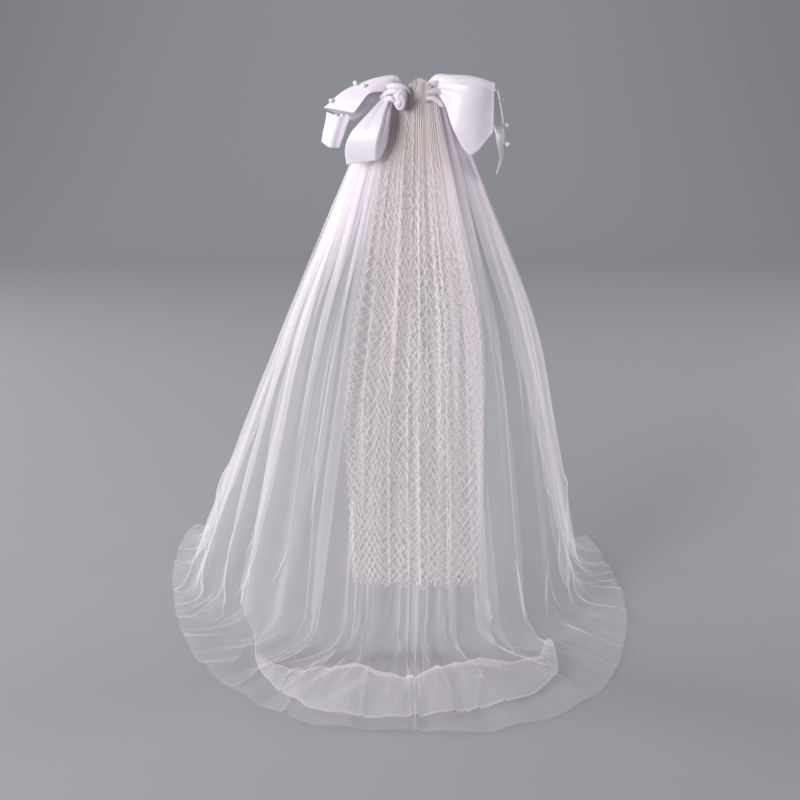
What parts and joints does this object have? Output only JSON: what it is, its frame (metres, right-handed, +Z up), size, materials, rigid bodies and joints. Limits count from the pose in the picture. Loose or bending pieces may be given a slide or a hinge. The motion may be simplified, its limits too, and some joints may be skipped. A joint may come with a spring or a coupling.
{
  "type": "short bridal veil with a bow",
  "caption": "Short gathered tulle veil on a hair comb, with a coarse net panel and a satin bow with pearls, shown hanging with its hem spread.",
  "frame": {"origin": "middle of the comb's spine on its back face, where the veil pins to the hair", "axes": "+Z up, and -Y out of the front of the veil, on which the bow sits; +X is to the right as the front is seen"},
  "size_m": [0.6804, 0.6181, 0.7518],
  "materials": {
    "tulle": "fine soft nylon tulle, white with a cool grey cast, half see-through",
    "net": "coarse diamond veiling net, warm white, cut through between its threads",
    "satin": "white duchess satin with a lilac cast in the shade, soft gloss",
    "pearl": "imitation pearl, glossy warm white",
    "comb": "clear-white moulded plastic"
  },
  "bodies": {
    "root": {"hair_comb": "comb", "long_tier": "tulle", "short_tier": "tulle", "net_panel": "net", "upper_left_loop": "satin", "left_tail": "satin", "front_left_tail": "satin", "right_loop": "satin", "right_back_tail": "satin", "bow_rosette": "satin", "pearl_left_1": "pearl", "pearl_left_2": "pearl", "pearl_left_3": "pearl", "pearl_left_4": "pearl", "pearl_left_5": "pearl", "pearl_left_6": "pearl", "pearl_right_1": "pearl", "pearl_right_2": "pearl", "pearl_right_3": "pearl"}
  },
  "joints": []
}
